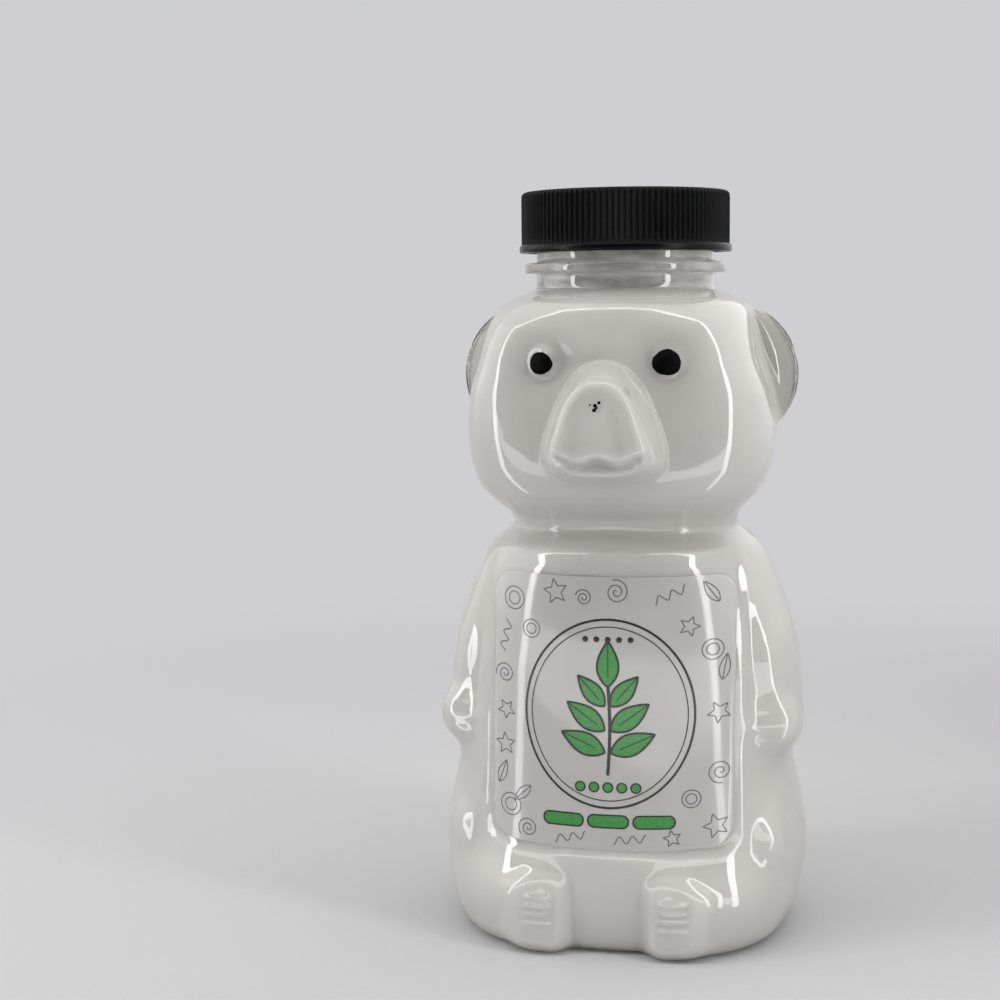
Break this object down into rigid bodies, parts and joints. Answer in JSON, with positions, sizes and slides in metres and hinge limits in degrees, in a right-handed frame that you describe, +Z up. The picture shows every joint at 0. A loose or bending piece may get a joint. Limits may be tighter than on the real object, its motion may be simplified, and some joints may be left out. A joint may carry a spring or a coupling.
{
  "type": "bear-shaped glue bottle",
  "caption": "Clear bear-shaped squeeze bottle of white glue with a ribbed screw cap, film labels and painted eyes.",
  "frame": {"origin": "centre of the bounding box at the base, on the table; the neck axis stands 3.45 mm behind it", "axes": "+Z up along the neck axis, -Y the way the bear looks, +X to the bear's left hand"},
  "size_m": [0.073, 0.0681, 0.1437],
  "materials": {
    "clear_pet": "clear blown polyester, gloss",
    "white_glue": "opaque milky liquid",
    "black_pp": "satin moulded polypropylene",
    "liner_foam": "closed-cell foam",
    "front_film": "printed clear film over white glue",
    "back_film": "printed clear film over white glue",
    "black_paint": "satin printing ink"
  },
  "bodies": {
    "bottle": {"bottle": "clear_pet", "glue_fill": "white_glue", "front_label": "front_film", "back_label": "back_film", "eye_left": "black_paint", "eye_right": "black_paint"},
    "liner": {"cap_liner": "liner_foam"},
    "cap": {"screw_cap": "black_pp"}
  },
  "joints": [
    {"name": "cap_lift", "type": "slide", "parent": "bottle", "child": "liner", "axis": [0, 0, 1], "range_m": [0, 0.0127]},
    {"name": "cap_turn", "type": "hinge", "parent": "liner", "child": "cap", "pos_m": [0, 0.00345, 0.138], "axis": [0, 0, 1], "range_deg": [0, 1080]}
  ],
  "couplings": [
    {"joint": "cap_turn", "follows": "cap_lift", "rad_per_m": 1484.2}
  ]
}
